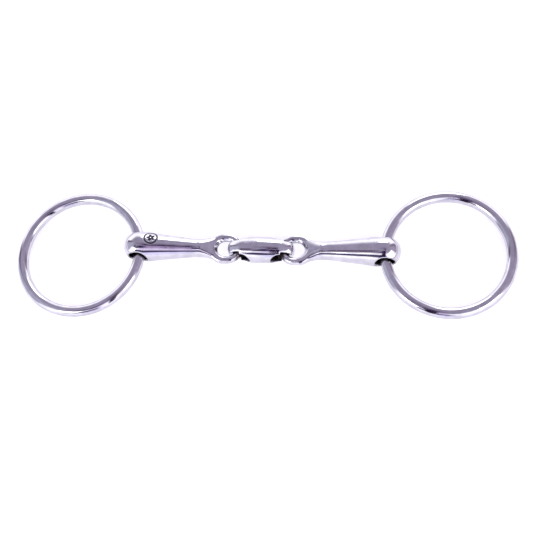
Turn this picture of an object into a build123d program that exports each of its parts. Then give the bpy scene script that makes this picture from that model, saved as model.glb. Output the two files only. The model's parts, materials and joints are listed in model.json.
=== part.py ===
from build123d import *
from math import asin, cos, degrees, radians, sin, sqrt, tan
import os

# Loose-ring snaffle bit with a double-jointed mouthpiece, lying flat with its rings spread.
# X runs along the mouthpiece, Y across it and Z up. The origin is under the middle of the whole
# bit's outline, on the surface it lies on. Lengths are in millimetres, angles in degrees.

os.makedirs("parts", exist_ok=True)

# ---- Driving dimensions ----

# Rings: round rod, bent and welded into a closed ring
ring_outer_dia = 70
ring_wire_dia = 6
left_ring_slide = -4.1  # how far each ring has slipped round through its hole, along Y
right_ring_slide = 0.5
left_ring_play = 0.25  # the left ring's wire lies this far inboard of its hole's axis

# Cannons: the two arms of the mouthpiece
hole_spacing = 128  # between the axes of the two ring holes
butt_dia = 16  # thickest part, at the ring hole
neck_dia = 9.8  # thinnest part, before the eye
neck_x = 32  # the neck's inner end, from the middle of the mouthpiece
hole_throat_dia = 8.7  # the ring hole narrows to this in the middle of the butt
hole_mouth_dia = 10.8  # and opens to this at the butt's two sides
hole_mouth_round = 0.6

# Eyes at the inner ends of the cannons, longer along X than they are wide
eye_outer_width = 15.8
eye_bore_width = 8.6
eye_stretch = 1.8  # straight length between the two round ends of the eye's outside
eye_bore_stretch = 0.8  # and of its bore
eye_thickness = 4.2
flare_radius = 12  # concave sides where the neck widens into the eye
eye_edge_round = 1  # of the eye's outer edges and its bore's rims
flare_bevel = 35  # slope around the bore where the flare rises past its rim

# Centre link, an oval lozenge with an eye through each end
lozenge_length = 35
lozenge_dia = 14
lozenge_end_bar = 3.9  # thickness of the bar that closes each end
lozenge_slot_length = 8.2
lozenge_slot_height = 8
room_half_angle = 100  # the eyes have room to swing this far each way round the end bars
room_start = 1  # the room starts this far from the fold axis, inside the slot
room_past = 0.6  # and ends this far past the lozenge's tip

joint_gap = 0.3  # between a cannon's eye and the end bar it pulls on

# ---- Worked out from them ----

ring_wire_radius = ring_wire_dia / 2
ring_mid_radius = (ring_outer_dia - ring_wire_dia) / 2
butt_radius = butt_dia / 2
neck_radius = neck_dia / 2

eye_outer_radius = eye_outer_width / 2
eye_bore_radius = eye_bore_width / 2
eye_bar = eye_outer_radius - eye_bore_radius
eye_half = eye_thickness / 2
bar_reach = eye_edge_round + sqrt((eye_bar / 2 - eye_edge_round) ** 2 + (eye_half - eye_edge_round) ** 2)
lozenge_slot_end = lozenge_length / 2 - lozenge_end_bar
lozenge_slot_middle = lozenge_slot_end - lozenge_slot_length / 2
fold_x = lozenge_slot_end - joint_gap - eye_bar / 2  # a cannon folds about its eye's inner bar
eye_x = eye_bore_radius + eye_bar / 2  # centre of the eye's inner round end, from the fold axis
eye_far_x = eye_x + eye_stretch  # and of its outer one
bore_far_x = eye_x + eye_bore_stretch
room_end = lozenge_length / 2 - fold_x + room_past

mouth_z = lozenge_dia / 2  # the lozenge rests on the surface, and so do the butts
hole_x = hole_spacing / 2
hole_rise = butt_radius - mouth_z
arm_length = sqrt((hole_x - fold_x) ** 2 + hole_rise**2)
arm_tilt = degrees(asin(hole_rise / arm_length))


def ring_place(slide, play):
    """How far outboard of its hole a ring's centre lies, how high, and the ring's tilt."""
    along = sqrt(ring_mid_radius**2 - slide**2)
    tilt = asin((butt_radius - ring_wire_radius) / (along + ring_mid_radius))
    height = ring_wire_radius + ring_mid_radius * sin(tilt)
    return along * cos(tilt) - play, height, degrees(tilt)


def ring_reach(tilt):
    """Half the width in X of a ring tipped about Y."""
    return ring_mid_radius * cos(radians(tilt)) + ring_wire_radius


left_outboard, left_ring_z, left_tilt = ring_place(left_ring_slide, left_ring_play)
right_outboard, right_ring_z, right_tilt = ring_place(right_ring_slide, 0)
left_end = hole_x + left_outboard + ring_reach(left_tilt)
right_end = hole_x + right_outboard + ring_reach(right_tilt)

# The middle of the mouthpiece, placed so that the bit's outline is centred on the origin
mouth_x = (left_end - right_end) / 2
mouth_y = -(left_ring_slide + right_ring_slide) / 2
mouth = Plane(origin=(mouth_x, mouth_y, mouth_z))


def from_mouth(x, y, z, turn_y):
    """Plane at x, y from the middle of the mouthpiece and z above the surface, turned about Y."""
    return Plane(mouth.location * Location((x, y, z - mouth_z), (0, turn_y, 0)))


# ---- Rings: each passes through its cannon's hole and rests on the surface at its far side ----

left_ring_plane = from_mouth(-hole_x - left_outboard, left_ring_slide, left_ring_z, -left_tilt)
right_ring_plane = from_mouth(hole_x + right_outboard, right_ring_slide, right_ring_z, right_tilt)

with BuildPart(left_ring_plane) as left_ring:
    Torus(ring_mid_radius, ring_wire_radius)

with BuildPart(right_ring_plane) as right_ring:
    Torus(ring_mid_radius, ring_wire_radius)

# ---- Centre lozenge: a blunt-ended body of revolution with a slot through each end ----

lozenge_side = Plane(origin=mouth.origin, x_dir=(1, 0, 0), z_dir=(0, -1, 0))
flank = (11, 6.2)  # where the lozenge's long arc ends and its blunt tip begins
shoulder = (15.8, 4.2)

# Room for a cannon's eye to swing round the end bar: all that lies outside a circle in the eye's
# bore, turned about the fold axis. The corners of the eye's own bar clear the circle by the gap.
swing_start = Plane(mouth.location * Location((fold_x, 0, 0), (0, room_half_angle, 0)))
fold_axis = Axis(swing_start.origin, (0, -1, 0))

with BuildPart() as eye_room:
    with BuildSketch(swing_start):
        with Locations(((room_start + room_end) / 2, 0)):
            Rectangle(room_end - room_start, lozenge_dia + 2)
        with Locations((eye_x, 0)):
            Circle(eye_x - bar_reach - joint_gap, mode=Mode.SUBTRACT)
    revolve(axis=fold_axis, revolution_arc=2 * room_half_angle)

with BuildPart() as centre_lozenge:
    with BuildSketch(lozenge_side):
        with BuildLine():
            back = ThreePointArc((-flank[0], flank[1]), (0, lozenge_dia / 2), flank)
            end = Spline(flank, shoulder, (lozenge_length / 2, 0), tangents=(back % 1, (0, -1)))
            mirror(end, about=Plane.YZ)
            Line((-lozenge_length / 2, 0), (lozenge_length / 2, 0))
        make_face()
    revolve(axis=Axis(mouth.origin, (1, 0, 0)))
    with BuildSketch(lozenge_side):
        with Locations((-lozenge_slot_middle, 0), (lozenge_slot_middle, 0)):
            SlotOverall(lozenge_slot_length, lozenge_slot_height)
    extrude(amount=lozenge_dia, both=True, mode=Mode.SUBTRACT)
    add(eye_room.part, mode=Mode.SUBTRACT)
    add(mirror(eye_room.part, about=Plane.YZ.offset(mouth_x), mode=Mode.PRIVATE), mode=Mode.SUBTRACT)

# ---- Cannons ----
# The blank is the right cannon laid level, its fold axis along Y through the origin. The flare is
# sunk into the eye at one end and into the shank at the other.

shank_x = arm_length - (hole_x - neck_x)
sunk = 0.2
sunk_eye_radius = eye_outer_radius - sunk
flare_reach = sqrt((sunk_eye_radius + flare_radius) ** 2 - (neck_radius + flare_radius) ** 2)
flare_x = eye_far_x + flare_reach
tangent_x = eye_far_x + flare_reach * sunk_eye_radius / (sunk_eye_radius + flare_radius)
flare_start = eye_far_x + 1
flare_end = shank_x + 2
flare_steps = 8
section_points = 24
shank_waist = [(arm_length - 10.6, 7), (arm_length - 21, 5.85)]  # points of the taper, x and radius

# The eye's bore in section: the rim's two ends, then a slope that trims the flare above it
bore_rim = (eye_bore_radius, eye_half - eye_edge_round)
bore_edge = (eye_bore_radius + eye_edge_round, eye_half)
bore_top = (bore_edge[0] + (neck_dia - eye_half) / tan(radians(flare_bevel)), neck_dia)


def half_width(x):
    """Half the flare's width in Y: round the eye, then along the concave side to the neck."""
    if x < tangent_x:
        return sqrt(sunk_eye_radius**2 - (x - eye_far_x) ** 2)
    if x < flare_x:
        return neck_radius + flare_radius - sqrt(flare_radius**2 - (flare_x - x) ** 2)
    return neck_radius if x < shank_x else neck_radius - sunk / 2


def thicken(x):
    """From 0 in the eye to 1 at the neck, level at both ends."""
    share = min((x - flare_start) / (shank_x - flare_start), 1)
    return share**2 * (3 - 2 * share)


def flare_section(x):
    """Closed outline across the flare: round at the neck, nearly a flat bar at the eye."""
    flat = eye_half - sunk
    neck = neck_radius if x < shank_x else neck_radius - sunk / 2
    height = flat + (neck - flat) * thicken(x)
    power = 2 / (3 - thicken(x))
    points = []
    for i in range(section_points):
        turn = radians(360 * i / section_points)
        across = half_width(x) * abs(cos(turn)) ** power * (1 if cos(turn) > 0 else -1)
        up = height * abs(sin(turn)) ** power * (1 if sin(turn) > 0 else -1)
        points.append((across, up))
    return points


with BuildSketch() as eye_section:
    Rectangle(eye_outer_width, eye_thickness)
    fillet(eye_section.vertices(), eye_edge_round)
    split(bisect_by=Plane.YZ)

with BuildSketch() as bore_section:
    with BuildLine():
        wall = Line((eye_bore_radius, 0), bore_rim)
        rim = RadiusArc(bore_rim, bore_edge, eye_edge_round)
        slope = Line(bore_edge, bore_top)
        mirror((wall, rim, slope), about=Plane.XZ)
        Polyline(bore_top, (0, bore_top[1]), (0, -bore_top[1]), (bore_top[0], -bore_top[1]))
    make_face()

# The eye's outside and its bore are the same kind of shape: round ends and a straight middle
with BuildPart() as eye_disc:
    for x in (eye_x, eye_far_x):
        with BuildSketch(Plane(origin=(x, 0, 0), x_dir=(1, 0, 0), z_dir=(0, -1, 0))):
            add(eye_section.sketch_local)
        revolve(axis=Axis((x, 0, 0), (0, 0, 1)))
    with BuildSketch(Plane.YZ.offset(eye_x)):
        add(eye_section.sketch_local)
        mirror(about=Plane.YZ)
    extrude(amount=eye_stretch)

with BuildPart() as eye_bore:
    for x in (eye_x, bore_far_x):
        with BuildSketch(Plane(origin=(x, 0, 0), x_dir=(1, 0, 0), z_dir=(0, -1, 0))):
            add(bore_section.sketch_local)
        revolve(axis=Axis((x, 0, 0), (0, 0, 1)))
    with BuildSketch(Plane.YZ.offset(eye_x)):
        add(bore_section.sketch_local)
        mirror(about=Plane.YZ)
    extrude(amount=eye_bore_stretch)

with BuildPart() as cannon_blank:
    # Shank and butt, turned about X
    with BuildSketch(Plane.XZ):
        with BuildLine():
            butt, neck = (arm_length, butt_radius), (shank_x, neck_radius)
            Spline(butt, *shank_waist, neck, tangents=((-1, 0), (-1, 0)))
            root = (shank_x - 1, neck_radius - sunk)
            Polyline(neck, root, (root[0], 0), (arm_length + butt_radius, 0))
            RadiusArc((arm_length + butt_radius, 0), butt, -butt_radius)
        make_face()
    revolve(axis=Axis.X)
    # Ring hole along Y, narrowest in the middle
    solid_edges = cannon_blank.edges()
    with BuildSketch(Plane.XY):
        with BuildLine():
            mouth_near = (arm_length + hole_mouth_dia / 2, -butt_radius)
            mouth_far = (arm_length + hole_mouth_dia / 2, butt_radius)
            ThreePointArc(mouth_near, (arm_length + hole_throat_dia / 2, 0), mouth_far)
            Polyline(mouth_far, (arm_length, butt_radius), (arm_length, -butt_radius), mouth_near)
        make_face()
    revolve(axis=Axis((arm_length, 0, 0), (0, 1, 0)), mode=Mode.SUBTRACT)
    hole_mouths = (cannon_blank.edges() - solid_edges).filter_by(lambda e: abs(e.center().Y) > 4)
    fillet(hole_mouths, hole_mouth_round)
    # Flare and eye
    for i in range(flare_steps + 1):
        x = flare_start + (flare_end - flare_start) * i / flare_steps
        with BuildSketch(Plane.YZ.offset(x)):
            with BuildLine():
                Spline(*flare_section(x), periodic=True)
            make_face()
    loft()
    add(eye_disc.part)
    add(eye_bore.part, mode=Mode.SUBTRACT)

right_fold = Location((mouth_x + fold_x, mouth_y, mouth_z), (0, -arm_tilt, 0))
left_fold = Location((mouth_x - fold_x, mouth_y, mouth_z), (0, arm_tilt, 0))

with BuildPart() as right_cannon:
    with Locations(right_fold):
        add(cannon_blank.part)

with BuildPart() as left_cannon:
    with Locations(left_fold):
        add(mirror(cannon_blank.part, about=Plane.YZ, mode=Mode.PRIVATE))

# ---- Write the pieces ----

pieces = {
    "left_ring": left_ring,
    "right_ring": right_ring,
    "left_cannon": left_cannon,
    "right_cannon": right_cannon,
    "centre_lozenge": centre_lozenge,
}
for name, piece in pieces.items():
    piece.part.label = name
    export_step(piece.part, f"parts/{name}.step")
    print(name, "solids", len(piece.part.solids()), "volume", round(piece.part.volume, 1))
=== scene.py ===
import json
import math

import bpy
import numpy as np
from mathutils import Matrix, Vector

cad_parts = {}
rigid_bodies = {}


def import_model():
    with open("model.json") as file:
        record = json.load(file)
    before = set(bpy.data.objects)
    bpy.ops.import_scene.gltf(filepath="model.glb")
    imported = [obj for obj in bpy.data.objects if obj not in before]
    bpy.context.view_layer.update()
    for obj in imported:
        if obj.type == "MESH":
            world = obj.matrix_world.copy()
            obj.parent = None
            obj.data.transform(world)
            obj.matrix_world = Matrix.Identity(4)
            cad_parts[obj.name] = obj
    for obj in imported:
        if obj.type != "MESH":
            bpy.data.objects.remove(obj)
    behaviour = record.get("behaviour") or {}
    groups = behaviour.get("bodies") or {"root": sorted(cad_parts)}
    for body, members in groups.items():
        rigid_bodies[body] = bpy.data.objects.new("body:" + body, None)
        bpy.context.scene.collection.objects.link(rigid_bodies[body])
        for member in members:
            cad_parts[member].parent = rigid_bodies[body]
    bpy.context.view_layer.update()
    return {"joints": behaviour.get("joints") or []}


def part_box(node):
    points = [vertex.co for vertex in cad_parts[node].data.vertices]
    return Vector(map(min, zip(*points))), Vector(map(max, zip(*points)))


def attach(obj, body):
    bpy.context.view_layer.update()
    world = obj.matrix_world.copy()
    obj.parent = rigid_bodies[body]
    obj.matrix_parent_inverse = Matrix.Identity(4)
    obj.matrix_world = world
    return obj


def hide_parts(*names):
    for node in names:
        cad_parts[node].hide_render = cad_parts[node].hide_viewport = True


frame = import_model()
MM = 0.001

# ---------------------------------------------------------------- sizes, in mm, as the CAD has them
RING_MID, RING_WIRE = 32.0, 3.0  # radii of the ring's middle line and of its rod
BUTT_R, NECK_R = 8.0, 4.9
HOLE_X, NECK_X = 64.0, 32.0  # ring hole and neck, from the middle of the mouthpiece
HOLE_THROAT_R, HOLE_MOUTH_R = 4.35, 5.4
EYE_OUTER_R, EYE_BORE_R, EYE_STRETCH, EYE_THICK = 7.9, 4.3, 1.8, 4.2
BORE_STRETCH, FLARE_R = 0.8, 12.0
LINK_LONG, LINK_R = 35.0, 7.0
FLANK_X, FLANK_R = 11, 6.2  # where the link's barrel turns into its blunt ends
SLOT_LONG, SLOT_HIGH, END_BAR = 8.2, 8.0, 3.9
GAP, EYE_EDGE = 0.3, 1.0

# ---------------------------------------------------------------- sizes of the visual model alone, in mm
OUTER_EDGE = 1.4  # radius of the eyes' outer edges
EYE_DISH, EYE_DISH_WIDE = 0.17, 2.6  # slope and width of the dish round each eye's bore
BEVEL_FROM, BEVEL_SLOPE = 0.75, 0.78  # where the bore's bevel starts, and how fast it widens
SOFT_EDGE, BORE_EDGE, HOLE_EDGE, SLOT_EDGE = 0.5, 0.4, 1.3, 1.2  # how wide creases are rounded
MARK_R, MARK_LINE, MARK_DEEP = 3.3, 0.4, 0.2
MARK_DOT, MARK_LOBE, MARK_HOLE, MARK_SOFT = 1.75, 0.45, 0.45, 0.1
MARK_REACH = 4.1  # the finer grid goes this far from the mark's middle
FLARE_EASE = 0.12  # share of the flare over which its thickening starts, and then stops
FLARE_SUNK = 0.25  # how far its face lies below the eye's face where they meet
ROOM_REACH = math.radians(100)  # how far the room for an eye goes round its fold axis, each way
ROOM_PAST = 0.5  # how far that room goes past the eye bar's middle line, seen from the fold axis
GRID, FINE_GRID, CANNON_MARGIN, LINK_MARGIN = 0.3, 0.1, 0.6, 0.4

# ---------------------------------------------------------------- places, in mm
# An arm's own frame has its fold axis at the origin and its ring hole at x = ARM.
joints = {j["name"]: [c / MM for c in j["pos_m"]] for j in frame["joints"]}
mouth = [(a + b) / 2 for a, b in zip(joints["left_fold"], joints["right_fold"])]
FOLD_X = joints["right_fold"][0] - mouth[0]
EYE_BAR = EYE_OUTER_R - EYE_BORE_R
BAR_REACH = EYE_EDGE + math.hypot(EYE_BAR / 2 - EYE_EDGE, EYE_THICK / 2 - EYE_EDGE)
EYE_X = EYE_BORE_R + EYE_BAR / 2
EYE_FAR_X = EYE_X + EYE_STRETCH
RISE = BUTT_R - mouth[2]
ARM = math.hypot(HOLE_X - FOLD_X, RISE)
TILT = math.asin(RISE / ARM)
SHANK_X = ARM - (HOLE_X - NECK_X)
FLARE_REACH = math.sqrt((EYE_OUTER_R + FLARE_R) ** 2 - (NECK_R + FLARE_R) ** 2)
FLARE_X = EYE_FAR_X + FLARE_REACH
TANGENT_X = EYE_FAR_X + FLARE_REACH * EYE_OUTER_R / (EYE_OUTER_R + FLARE_R)
FLARE_START = EYE_FAR_X + 1
MARK_X, MARK_Y = ARM - 7.0, 2.2
SLOT_X = LINK_LONG / 2 - END_BAR - SLOT_LONG / 2


# ---------------------------------------------------------------- shape tools
# A field is a function of x, y and z that is below 0 inside a shape and above 0 outside it.
def smax(a, b, k):
    """Larger of two fields, with the crease between them rounded."""
    h = np.maximum(k - np.abs(a - b), 0) / k
    return np.maximum(a, b) + h * h * k / 4


def smin(a, b, k):
    """Smaller of two fields, with the crease between them rounded."""
    return -smax(-a, -b, k)


def spline(xs, ys, slope_a, slope_b):
    """Cubic curve through the points, with the end slopes given, as a function of arrays."""
    xs, ys = np.array(xs, float), np.array(ys, float)
    h = np.diff(xs)
    n = len(xs)
    left, right = np.zeros((n, n)), np.zeros(n)
    left[0, 0] = left[-1, -1] = 1
    right[0], right[-1] = slope_a, slope_b
    for i in range(1, n - 1):
        left[i, i - 1], left[i, i], left[i, i + 1] = 1 / h[i - 1], 2 / h[i - 1] + 2 / h[i], 1 / h[i]
        right[i] = 3 * ((ys[i] - ys[i - 1]) / h[i - 1] ** 2 + (ys[i + 1] - ys[i]) / h[i] ** 2)
    slopes = np.linalg.solve(left, right)

    def value(x):
        x = np.clip(x, xs[0], xs[-1])
        i = np.clip(np.searchsorted(xs, x) - 1, 0, n - 2)
        t = (x - xs[i]) / h[i]
        from_points = (2 * t**3 - 3 * t**2 + 1) * ys[i] + (3 * t**2 - 2 * t**3) * ys[i + 1]
        from_slopes = (t**3 - 2 * t**2 + t) * slopes[i] + (t**3 - t**2) * slopes[i + 1]
        return from_points + from_slopes * h[i]

    return value


def eased(share, ease):
    """0 to 1 at a steady rate, but gently over the first and last ease."""
    start = np.minimum(share, ease) ** 2 / (2 * ease)
    steady = np.clip(share - ease, 0, 1 - 2 * ease)
    stop = np.where(share > 1 - ease, 1 - ((1 - share) / ease) ** 2, 0) * ease / 2
    return (start + steady + stop) / (1 - ease)


def lay_net(field, xs, ys, zs):
    """Quad mesh of the surface where field is 0, on a grid that may be finer in places."""
    axes = [np.asarray(a, float) for a in (xs, ys, zs)]
    v = field(*np.meshgrid(*axes, indexing="ij"))
    # A point in each cell that the surface crosses, at the mean of its crossings of the cell's edges
    shape = np.array(v.shape) - 1
    corner = {}
    for i in range(2):
        for j in range(2):
            for k in range(2):
                corner[i, j, k] = v[i:shape[0] + i, j:shape[1] + j, k:shape[2] + k]
    low = np.minimum.reduce(list(corner.values()))
    high = np.maximum.reduce(list(corner.values()))
    cells = np.argwhere((low < 0) & (high >= 0))
    index = -np.ones(tuple(shape), int)
    index[tuple(cells.T)] = np.arange(len(cells))
    total, count = np.zeros((len(cells), 3)), np.zeros(len(cells))
    value = {key: c[tuple(cells.T)] for key, c in corner.items()}
    for axis in range(3):
        for p in range(2):
            for q in range(2):
                a = [p, q]
                a.insert(axis, 0)
                b = list(a)
                b[axis] = 1
                va, vb = value[tuple(a)], value[tuple(b)]
                cross = (va < 0) != (vb < 0)
                place = np.array(a, float)[None, :] + np.zeros((len(cells), 3))
                place[:, axis] = np.where(cross, va / np.where(cross, va - vb, 1), 0)
                total += place * cross[:, None]
                count += cross
    inner = total / count[:, None]
    verts = np.empty_like(inner)
    for axis in range(3):
        ax = axes[axis]
        c = cells[:, axis]
        verts[:, axis] = ax[c] + inner[:, axis] * (ax[c + 1] - ax[c])
    # A face for each grid edge that the surface crosses, from the four cells that share the edge
    faces = []
    inside = v < 0
    for axis in range(3):
        others = [a for a in range(3) if a != axis]
        take = [slice(1, -1)] * 3
        take[axis] = slice(None)
        first, last = list(take), list(take)
        first[axis], last[axis] = slice(0, -1), slice(1, None)
        a, b = inside[tuple(first)], inside[tuple(last)]
        for flip in (False, True):
            hits = np.argwhere(~a & b if flip else a & ~b)
            hits[:, others] += 1
            ring = []
            for du, dv in ((-1, -1), (0, -1), (0, 0), (-1, 0)):
                at = hits.copy()
                at[:, others[0]] += du
                at[:, others[1]] += dv
                ring.append(index[tuple(at.T)])
            quad = np.stack(ring, 1)
            if flip != (axis == 1):
                quad = quad[:, ::-1]
            faces.append(quad)
    return verts, np.concatenate(faces)


def slope_of(field, p, h=0.01):
    """The field's gradient at each point."""
    out = np.empty_like(p)
    for axis in range(3):
        d = np.zeros(3)
        d[axis] = h
        out[:, axis] = (field(*(p + d).T) - field(*(p - d).T)) / (2 * h)
    return out


def settle(field, p, reach):
    """Moves the net's points onto the surface and gives their normals."""
    for _ in range(5):
        g = slope_of(field, p)
        step = field(*p.T)[:, None] * g / np.maximum((g * g).sum(1), 0.05)[:, None]
        size = np.linalg.norm(step, axis=1)[:, None]
        p = p - step * np.minimum(1, reach / np.maximum(size, 1e-9))
    g = slope_of(field, p)
    return p, g / np.linalg.norm(g, axis=1)[:, None]


def graded(low, high, step, fine_low, fine_high, fine):
    """Grid positions from low to high, closer together between fine_low and fine_high."""
    parts = []
    for a, b, s in ((low, fine_low, step), (fine_low, fine_high, fine), (fine_high, high, step)):
        if b > a:
            parts.append(np.linspace(a, b, max(2, round((b - a) / s) + 1))[:-1])
    return np.append(np.concatenate(parts), high)


def make_mesh(name, verts, faces, normals, body, node, extra=None):
    """A piece with exact normals that rides on a body and stands for a CAD node."""
    mesh = bpy.data.meshes.new(name)
    mesh.from_pydata((verts * MM).tolist(), [], faces.tolist())
    for key, values in (extra or {}).items():
        data = mesh.attributes.new(key, "FLOAT", "POINT").data
        data.foreach_set("value", values.astype(np.float32))
    mesh.shade_smooth()
    mesh.normals_split_custom_set_from_vertices(normals.tolist())
    obj = bpy.data.objects.new(name, mesh)
    bpy.context.scene.collection.objects.link(obj)
    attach(obj, body)
    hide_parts(node)


# ---------------------------------------------------------------- rings
def ring_mesh(word, side):
    """Plain ring of round rod, tilted as its CAD box says."""
    low, high = (np.array(c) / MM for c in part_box(f"{word}_ring"))
    centre = (low + high) / 2
    tilt = math.asin(min(1, ((high - low)[2] / 2 - RING_WIRE) / RING_MID))
    around, across = 320, 64
    u = np.linspace(0, 2 * math.pi, around, endpoint=False)[:, None]
    w = np.linspace(0, 2 * math.pi, across, endpoint=False)[None, :]
    n = np.stack([np.cos(w) * np.cos(u), np.cos(w) * np.sin(u), np.sin(w) + 0 * u], -1).reshape(-1, 3)
    mid = np.stack([np.cos(u) + 0 * w, np.sin(u) + 0 * w, 0 * u + 0 * w], -1).reshape(-1, 3)
    p = mid * RING_MID + n * RING_WIRE
    turn = np.array(Matrix.Rotation(side * tilt, 3, "Y"))
    i = np.arange(around)[:, None]
    j = np.arange(across)[None, :]
    next_i, next_j = (i + 1) % around, (j + 1) % across
    quad = [i * across + j, next_i * across + j, next_i * across + next_j, i * across + next_j]
    faces = np.stack(quad, -1).reshape(-1, 4)
    make_mesh(
        f"{word}_ring_polished", p @ turn.T + centre, faces, n @ turn.T,
        f"{word}_bit_ring", f"{word}_ring",
    )


ring_mesh("left", -1)
ring_mesh("right", 1)

# ---------------------------------------------------------------- cannons
# Radius along the shank, from the neck to the butt
taper = spline([SHANK_X, ARM - 21, ARM - 10.6, ARM], [NECK_R, 5.85, 7.0, BUTT_R], 0, 0)


def mark_cut(x, y, z):
    """0 to 1: how far into the engraved ring and its five-lobed dot a point is."""
    r = np.hypot(x - MARK_X, y - MARK_Y)
    line = np.exp(-(((r - MARK_R) / MARK_LINE) ** 2))
    lobes = MARK_DOT + MARK_LOBE * np.cos(5 * np.arctan2(y - MARK_Y, x - MARK_X))
    dot = 1 / (1 + np.exp((r - lobes) / MARK_SOFT)) * (1 - np.exp(-((r / MARK_HOLE) ** 4)))
    return np.maximum(line, dot) * (z > 0)


def flare_field(x, y, z):
    """From the flat eye to the round neck: the section turns from a rounded oblong into a circle."""
    xc = np.clip(x, FLARE_START, SHANK_X)
    thick = eased((xc - FLARE_START) / (SHANK_X - FLARE_START), FLARE_EASE)
    by_eye = np.sqrt(np.maximum(EYE_OUTER_R**2 - (xc - EYE_FAR_X) ** 2, 0.01))
    from_neck = np.minimum(xc, FLARE_X) - FLARE_X
    by_flare = NECK_R + FLARE_R - np.sqrt(np.maximum(FLARE_R**2 - from_neck**2, 0))
    width = np.where(xc < TANGENT_X, by_eye, np.where(xc < FLARE_X, by_flare, NECK_R))
    width = np.where(x < FLARE_START, width - (FLARE_START - x), width)
    low = EYE_THICK / 2 - FLARE_SUNK
    height = low + (NECK_R - low) * thick
    power = 4 - 2 * thick
    sides = (np.abs(y) / np.maximum(width, 0.5)) ** power + (np.abs(z) / height) ** power
    section = (sides ** (1 / power) - 1) * np.minimum(width, height)
    end_in_eye = FLARE_START - 0.5
    return smax(section, end_in_eye - x, SOFT_EDGE)


def shank_field(x, y, z):
    """Turned shank and the round end of the butt."""
    r = np.hypot(y, z)
    return np.where(x < ARM, r - taper(x), np.sqrt(np.maximum(x - ARM, 0) ** 2 + r**2) - BUTT_R)


def hole_field(x, y, z):
    """Ring hole along Y, narrowest in the middle."""
    widening = HOLE_MOUTH_R - HOLE_THROAT_R
    waist_r = (BUTT_R**2 + widening**2) / (2 * widening)
    hole_r = HOLE_THROAT_R + waist_r - np.sqrt(waist_r**2 - np.minimum(np.abs(y), 12) ** 2)
    return np.hypot(x - ARM, z) - hole_r


def eye_field(x, y, z):
    """Eye: a disc stretched along X, dished towards its bore, with rounded outer edges."""
    from_axis = np.hypot(x - np.clip(x, EYE_X, EYE_FAR_X), y)
    out_r = from_axis - (EYE_OUTER_R - OUTER_EDGE)
    half = EYE_THICK / 2 - EYE_DISH * np.clip(-out_r, 0, EYE_DISH_WIDE)
    out_z = np.abs(z) - (half - OUTER_EDGE)
    outside = np.hypot(np.maximum(out_r, 0), np.maximum(out_z, 0))
    return outside + np.minimum(np.maximum(out_r, out_z), 0) - OUTER_EDGE


def bore_field(x, y, z):
    """The eye's bore, with bevelled rims."""
    from_axis = np.hypot(x - np.clip(x, EYE_X, EYE_X + BORE_STRETCH), y)
    bevel = np.maximum(np.abs(z) - BEVEL_FROM, 0) * BEVEL_SLOPE
    steepness = np.where(bevel > 0, 0.79, 1)  # keeps the field's slope near 1 on the bevel too
    return (from_axis - EYE_BORE_R - bevel) * steepness


def cannon_field(x, y, z, marked):
    """One arm of the mouthpiece, in the arm's own frame."""
    body = np.where(x < SHANK_X, flare_field(x, y, z), shank_field(x, y, z))
    body = smax(body, -hole_field(x, y, z), HOLE_EDGE)
    body = smin(body, eye_field(x, y, z), SOFT_EDGE)
    body = smax(body, -bore_field(x, y, z), BORE_EDGE)
    if marked:
        body = body + MARK_DEEP * mark_cut(x, y, z)
    return body


def cannon_mesh(word, side, marked):
    """Cannon, with painted shade in its ring hole, its eye's bore and the part in the link's slot."""

    def field(x, y, z):
        return cannon_field(x, y, z, marked)

    low_x, high_x = -2.6, ARM + BUTT_R + 0.45
    half, levels = BUTT_R + CANNON_MARGIN, 59
    zs = np.linspace(-half, half, levels)
    if marked:
        xs = graded(low_x, high_x, GRID, MARK_X - MARK_REACH, MARK_X + MARK_REACH, FINE_GRID)
        ys = graded(-half, half, GRID, MARK_Y - MARK_REACH, MARK_Y + MARK_REACH, FINE_GRID)
    else:
        xs = np.arange(low_x, high_x + GRID, GRID)
        ys = zs
    verts, faces = lay_net(field, xs, ys, zs)
    verts, normals = settle(field, verts, reach=0.15)
    x, y, z = verts.T
    cut = mark_cut(x, y, z) if marked else np.zeros(len(verts))
    # How much painted shade each point gets, from 0 to 1, fading out over about a millimetre
    in_hole = np.clip(1.5 - (np.hypot(x - ARM, z) - HOLE_THROAT_R), 0, 1)
    in_bore = np.clip(1.6 - np.abs(z) / 0.6, 0, 1) * (np.hypot(x - EYE_X, y) < 6)
    in_slot = np.clip((1.9 - x) / 1.2, 0, 1)
    recess_shade = np.maximum(np.maximum(in_hole, in_slot), 0.5 * in_bore)
    if side < 0:
        verts, normals, faces = verts * [-1, 1, 1], normals * [-1, 1, 1], faces[:, ::-1]
    turn = np.array(Matrix.Rotation(-side * TILT, 3, "Y"))
    place = np.array([mouth[0] + side * FOLD_X, mouth[1], mouth[2]])
    make_mesh(
        f"{word}_cannon_polished", verts @ turn.T + place, faces, normals @ turn.T,
        f"{word}_arm", f"{word}_cannon", {"engraved": cut, "recess_shade": recess_shade},
    )


cannon_mesh("left", -1, True)
cannon_mesh("right", 1, False)


# ---------------------------------------------------------------- centre lozenge
def link_outline():
    """Square of the link's radius along X: a shallow arc over the barrel, then a blunt end."""
    back_r = (FLANK_X**2 + (LINK_R - FLANK_R) ** 2) / (2 * (LINK_R - FLANK_R))
    on_arc = [0, 4, 8, FLANK_X]
    arc_radii = [LINK_R - back_r + math.sqrt(back_r**2 - x * x) for x in on_arc]
    at_end, end_radii = [13.5, 15.8, 16.8, LINK_LONG / 2], [5.42, 4.2, 2.95, 0]
    return spline(on_arc + at_end, [r * r for r in arc_radii + end_radii], 0, -16)


radius_squared = link_outline()


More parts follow.
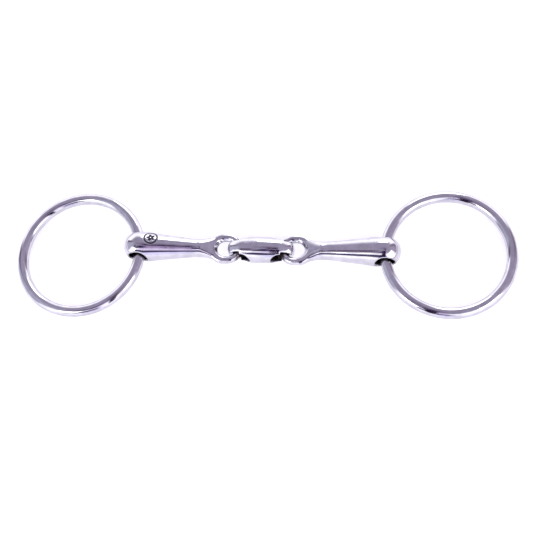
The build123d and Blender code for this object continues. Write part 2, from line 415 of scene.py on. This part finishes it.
def link_field(x, y, z):
    """Blunt oval with a slot through each end, and room for the eye that swings in it."""
    x = np.abs(x)
    r2 = y * y + z * z
    past_end = np.maximum(x - LINK_LONG / 2, 0)
    steepness = 2 * np.sqrt(np.maximum(r2, 4)) + 4 * (x > 14)
    outer = (r2 - radius_squared(x) + 16 * past_end) / steepness
    half = (SLOT_LONG - SLOT_HIGH) / 2
    slot = np.hypot(np.maximum(np.abs(x - SLOT_X) - half, 0), z) - SLOT_HIGH / 2
    body = smax(outer, -slot, SLOT_EDGE)
    away = np.hypot(x - FOLD_X, z)
    bar = np.hypot(away - EYE_X, y) - (EYE_X - BAR_REACH - GAP)
    angle = np.abs(np.arctan2(z, x - FOLD_X))
    past = away * np.sin(np.clip(angle - ROOM_REACH, -1.5, 1.5))
    room = smax(smax(-bar, past, SOFT_EDGE), away - (EYE_X + ROOM_PAST), SOFT_EDGE)
    return smax(body, -room, SOFT_EDGE)


def link_mesh():
    """Centre lozenge, with painted shade on the walls of its slots."""
    half_x, half_y = LINK_LONG / 2 + LINK_MARGIN, LINK_R + LINK_MARGIN
    xs = np.linspace(-half_x, half_x, 145)
    ys = np.linspace(-half_y, half_y, 61)
    verts, faces = lay_net(link_field, xs, ys, ys)
    verts, normals = settle(link_field, verts, reach=0.12)
    # Painted shade: the slot walls are marked for a dark colour, in place of the shadow inside the
    # slots.
    away = np.hypot(np.abs(verts[:, 0]) - SLOT_X, verts[:, 2])
    recess_shade = np.clip(1 - (away - SLOT_HIGH / 2), 0, 1) * (np.abs(normals[:, 1]) < 0.7)
    make_mesh(
        "centre_lozenge_polished", verts + np.array(mouth), faces, normals, "link", "centre_lozenge",
        {"engraved": 0 * recess_shade, "recess_shade": recess_shade},
    )


link_mesh()


# ---------------------------------------------------------------- materials
class Tree:
    """Short way to lay out shader nodes."""

    def __init__(self, owner):
        owner.use_nodes = True
        self.tree = owner.node_tree
        self.tree.nodes.clear()

    def put(self, node, key, value):
        """Links a socket to an input, or fills in a number or a colour."""
        if isinstance(value, bpy.types.NodeSocket):
            self.tree.links.new(value, node.inputs[key])
        else:
            node.inputs[key].default_value = value

    def add(self, kind, inputs=None, **settings):
        node = self.tree.nodes.new(kind)
        for key, value in settings.items():
            setattr(node, key, value)
        for key, value in (inputs or {}).items():
            self.put(node, key, value)
        return node

    def place(self, kind="Object"):
        return self.add("ShaderNodeTexCoord").outputs[kind]

    def math(self, operation, *values):
        inputs = dict(enumerate(values))
        return self.add("ShaderNodeMath", inputs, operation=operation).outputs[0]

    def times(self, a, b):
        return self.math("MULTIPLY", a, b)

    def total(self, *values):
        """Sum of two or more values."""
        value = values[0]
        for other in values[1:]:
            value = self.math("ADD", value, other)
        return value

    def spread(self, value, a, b, c=0.0, d=1.0):
        """value from a to b becomes c to d, along a smooth step."""
        inputs = {0: value, 1: a, 2: b, 3: c, 4: d}
        return self.add("ShaderNodeMapRange", inputs, interpolation_type="SMOOTHSTEP").outputs[0]

    def blend(self, share, a, b):
        """Colour a where share is 0, and b where it is 1."""
        node = self.add("ShaderNodeMix", data_type="RGBA")
        for key, value in ((0, share), (6, a), (7, b)):
            self.put(node, key, value)
        return node.outputs[2]

    def noise(self, where, scale, detail, rough):
        inputs = {"Vector": where, "Scale": scale, "Detail": detail, "Roughness": rough}
        return self.add("ShaderNodeTexNoise", inputs).outputs[0]

    def mapped(self, **inputs):
        return self.add("ShaderNodeMapping", inputs).outputs[0]

    def bump(self, height, strength, distance):
        inputs = {"Height": height, "Strength": strength, "Distance": distance}
        return self.add("ShaderNodeBump", inputs).outputs[0]

    def surface(self, inputs):
        shader = self.add("ShaderNodeBsdfPrincipled", inputs)
        self.add("ShaderNodeOutputMaterial", {"Surface": shader.outputs[0]})


def polished_steel(name, tone, stretch, waviness, has_marks_and_shade):
    """Worn polish: soft waves, hairlines, smudges and scuffs, and painted shade in the recesses."""
    material = bpy.data.materials.new(name)
    t = Tree(material)
    place = t.place()
    smudge = t.noise(place, 60, 4, 0.6)
    cloud = t.noise(place, 210, 3, 0.5)
    waves = t.noise(place, 130, 1, 0.4)
    hairs = t.noise(t.mapped(Vector=place, Scale=stretch), 900, 3, 0.7)
    along_a = t.mapped(Vector=place, Rotation=(0.3, 0.2, 0.7), Scale=(1, 30, 30))
    along_b = t.mapped(Vector=place, Rotation=(0.1, -0.3, -0.9), Scale=(1, 34, 34))
    scuff_a = t.spread(t.noise(along_a, 160, 2, 0.6), 0.70, 0.74)
    scuff_b = t.spread(t.noise(along_b, 120, 2, 0.6), 0.71, 0.75)
    scratches = t.math("MAXIMUM", scuff_a, scuff_b)
    rough = t.total(t.spread(smudge, 0.35, 0.7, 0.035, 0.085), t.spread(hairs, 0.35, 0.75, 0.0, 0.04))
    rough = t.total(rough, t.times(scratches, 0.12))
    pale = tuple(min(1, c * 1.06) for c in tone) + (1,)
    dull = tuple(c * 0.90 for c in tone) + (1,)
    colour = t.blend(t.spread(cloud, 0.3, 0.7), dull, pale)
    height = t.total(t.times(waves, waviness), t.times(hairs, 0.004))
    height = t.math("SUBTRACT", height, t.times(scratches, 0.01))
    if has_marks_and_shade:
        # Painted shade: recesses get a dark colour, patchy by noise, in place of the shadow inside them;
        # engraved lines get dark ink.
        shade_colour, ink = (0.07, 0.055, 0.06, 1), (0.035, 0.03, 0.045, 1)
        recess_shade = t.add("ShaderNodeAttribute", attribute_name="recess_shade").outputs["Fac"]
        engraved = t.add("ShaderNodeAttribute", attribute_name="engraved").outputs["Fac"]
        patchy_shade = t.times(recess_shade, t.spread(t.noise(place, 480, 3, 0.6), 0.3, 0.6, 0.45, 1.0))
        colour = t.blend(patchy_shade, colour, shade_colour)
        colour = t.blend(t.spread(engraved, 0.15, 0.6), colour, ink)
        rough = t.total(rough, t.times(patchy_shade, 0.16), t.times(engraved, 0.35))
    bump = t.bump(height, 1.0, 0.001)
    t.surface({"Base Color": colour, "Metallic": 1.0, "Roughness": rough, "Normal": bump})
    return material


ring_steel = polished_steel(
    "ring_steel", tone=(0.60, 0.585, 0.63), stretch=(60, 60, 1), waviness=0.02, has_marks_and_shade=False
)
mouth_steel = polished_steel(
    "mouthpiece_steel", tone=(0.62, 0.605, 0.65), stretch=(1, 60, 60), waviness=0.05, has_marks_and_shade=True
)
for obj in bpy.context.scene.objects:
    if obj.type == "MESH" and obj.name.endswith("_polished"):
        obj.data.materials.append(ring_steel if "ring" in obj.name else mouth_steel)


# ---------------------------------------------------------------- studio
# Turn is 0 in front of the object and 90 to its right, and rise is 90 overhead, in degrees.
def direction(turn, rise):
    """Unit vector towards a place in the studio."""
    a, e = math.radians(turn), math.radians(rise)
    return Vector((math.sin(a) * math.cos(e), -math.cos(a) * math.cos(e), math.sin(e)))


def stage_piece(name, corners, faces, material):
    """Flat thing that isn't part of the object, with its corners in mm."""
    mesh = bpy.data.meshes.new(name)
    mesh.from_pydata([[c * MM for c in corner] for corner in corners], [], faces)
    mesh.materials.append(material)
    obj = bpy.data.objects.new(name, mesh)
    bpy.context.scene.collection.objects.link(obj)
    return obj


def paper_floor():
    """Pale matt paper that glows a little, so that it comes out white."""
    material = bpy.data.materials.new("pale_floor")
    t = Tree(material)
    grain = t.noise(t.place(), 700, 4, 0.6)
    colour = t.blend(t.spread(grain, 0.3, 0.7), (0.86, 0.86, 0.89, 1), (0.90, 0.90, 0.92, 1))
    t.surface({
        "Base Color": colour, "Roughness": 0.8, "Normal": t.bump(grain, 0.1, 0.0002),
        "Specular IOR Level": 0.0, "Emission Color": (1.0, 0.99, 1.0, 1), "Emission Strength": 0.41,
    })
    wide = 6000
    corners = [(-wide, -wide, 0), (wide, -wide, 0), (wide, wide, 0), (-wide, wide, 0)]
    floor = stage_piece("floor", corners, [(0, 1, 2, 3)], material)
    floor.location.z = -0.05 * MM


def black_card():
    """Narrow dark card near the camera, seen only where the steel reflects it."""
    material = bpy.data.materials.new("black_card")
    t = Tree(material)
    colour = t.blend(t.noise(t.place(), 12, 3, 0.6), (0.012, 0.005, 0.022, 1), (0.04, 0.022, 0.06, 1))
    t.surface({"Base Color": colour, "Roughness": 0.9, "Specular IOR Level": 0.0})
    outline = [(20, 55), (70, 55), (92, 330), (135, 640), (5, 640), (8, 330)]
    corners = [(x, -208, z) for x, z in outline]
    card = stage_piece("black_card", corners, [(0, 1, 2, 5), (5, 2, 3, 4)], material)
    card.visible_camera = card.visible_diffuse = card.visible_shadow = False


def studio_sky():
    """White tent walls with a grey top, and grey and violet panels that the steel reflects."""
    world = bpy.data.worlds.new("studio")
    bpy.context.scene.world = world
    t = Tree(world)
    way = t.place("Generated")
    x, y, z = t.add("ShaderNodeSeparateXYZ", {0: way}).outputs
    soft = t.math("SUBTRACT", t.noise(way, 2.2, 2, 0.5), 0.5)
    fine = t.math("SUBTRACT", t.noise(way, 7, 3, 0.6), 0.5)
    degrees = 180 / math.pi
    turn = t.times(t.math("ARCTAN2", x, t.times(y, -1.0)), degrees)
    turn = t.total(turn, t.times(soft, 14.0))
    rise = t.times(t.math("ARCSINE", z), degrees)
    rise = t.total(rise, t.total(t.times(soft, 16.0), t.times(fine, 10.0)))

    def band(value, centre, half, edge):
        away = t.math("ABSOLUTE", t.math("SUBTRACT", value, centre))
        return t.spread(away, half - edge, half + edge, 1.0, 0.0)

    facing = t.math("COSINE", t.math("DIVIDE", turn, degrees))
    top_from = t.total(t.times(facing, 15.0), 32.0)
    top_to = t.total(t.times(facing, 5.0), 52.0)
    walls, top, overhead = (1.72, 1.70, 1.82, 1), (0.465, 0.425, 0.565, 1), (0.26, 0.20, 0.32, 1)
    sky = t.blend(t.spread(rise, top_from, top_to), walls, top)
    sky = t.blend(t.spread(rise, 76, 88), sky, overhead)
    # Each panel has a turn and a rise, as middle, half width and softness of the edge, and a colour
    panels = [
        ((-90, 24, 5), (24, 34, 9), (0.62, 0.62, 0.78)),
        ((-112, 6, 3), (22, 26, 6), (0.22, 0.18, 0.26)),
        ((108, 27, 8), (26, 34, 8), (0.55, 0.48, 0.64)),
        ((126, 9, 5), (28, 24, 8), (0.34, 0.27, 0.37)),
        ((6, 13, 5), (6, 20, 8), (1.15, 1.10, 1.50)),
        ((2, 12, 5), (51, 7, 4), (0.96, 0.80, 1.16)),
        ((-11, 24, 6), (31, 11, 3), (0.10, 0.08, 0.19)),
        ((-124, 9, 5), (43, 6, 4), (0.50, 0.46, 0.62)),
        ((5, 11, 4), (67, 6, 3), (0.55, 0.38, 0.70)),
        ((-12, 12, 4), (66, 7, 3), (0.05, 0.035, 0.11)),
        ((-46, 13, 5), (64, 6, 3), (0.17, 0.12, 0.20)),
        ((12, 24, 8), (82, 5, 2.5), (0.04, 0.018, 0.07)),
    ]
    for across, up, colour in panels:
        share = t.times(band(turn, *across), band(rise, *up))
        sky = t.blend(share, sky, colour + (1,))
    shader = t.add("ShaderNodeBackground", {"Color": sky, "Strength": 1.0})
    t.add("ShaderNodeOutputWorld", {"Surface": shader.outputs[0]})


def softbox(name, turn, rise, size, radiance):
    """Square lamp that faces the object. Size and distance are in metres."""
    light = bpy.data.lights.new(name, "AREA")
    light.shape, light.size = "SQUARE", size
    light.energy = radiance * math.pi * size**2
    obj = bpy.data.objects.new(name, light)
    distance = 1.4
    way = direction(turn, rise)
    obj.location = way * distance
    obj.rotation_euler = way.to_track_quat("Z", "Y").to_euler()
    bpy.context.scene.collection.objects.link(obj)


paper_floor()
black_card()
studio_sky()
softbox("softbox_left", turn=-40, rise=38, size=0.5, radiance=4.0)
softbox("softbox_right", turn=66, rise=34, size=0.5, radiance=3.5)
softbox("softbox_back", turn=176, rise=30, size=0.6, radiance=3.0)


# ---------------------------------------------------------------- camera
def add_camera(turn, rise, roll, aim, distance, focal_length):
    """Camera that looks at aim. The angles are in degrees, aim and focal length in mm."""
    roll = math.radians(roll)
    back = direction(turn, rise)
    level = Vector((math.cos(math.radians(turn)), math.sin(math.radians(turn)), 0))
    upward = back.cross(level)
    right = level * math.cos(roll) + upward * math.sin(roll)
    upward = upward * math.cos(roll) - level * math.sin(roll)
    lens = bpy.data.cameras.new("camera")
    lens.lens, lens.sensor_width, lens.clip_start = focal_length, 36, 0.01
    camera = bpy.data.objects.new("camera", lens)
    facing = Matrix((right, upward, back)).transposed().to_4x4()
    camera.matrix_world = Matrix.Translation(Vector(aim) * MM + back * distance) @ facing
    bpy.context.scene.collection.objects.link(camera)
    bpy.context.scene.camera = camera


add_camera(
    turn=20.11, rise=66.23, roll=-17.21, aim=(3.145, -6.99, 6.0), distance=0.65, focal_length=85.55
)
bpy.context.scene.view_settings.view_transform = "Standard"
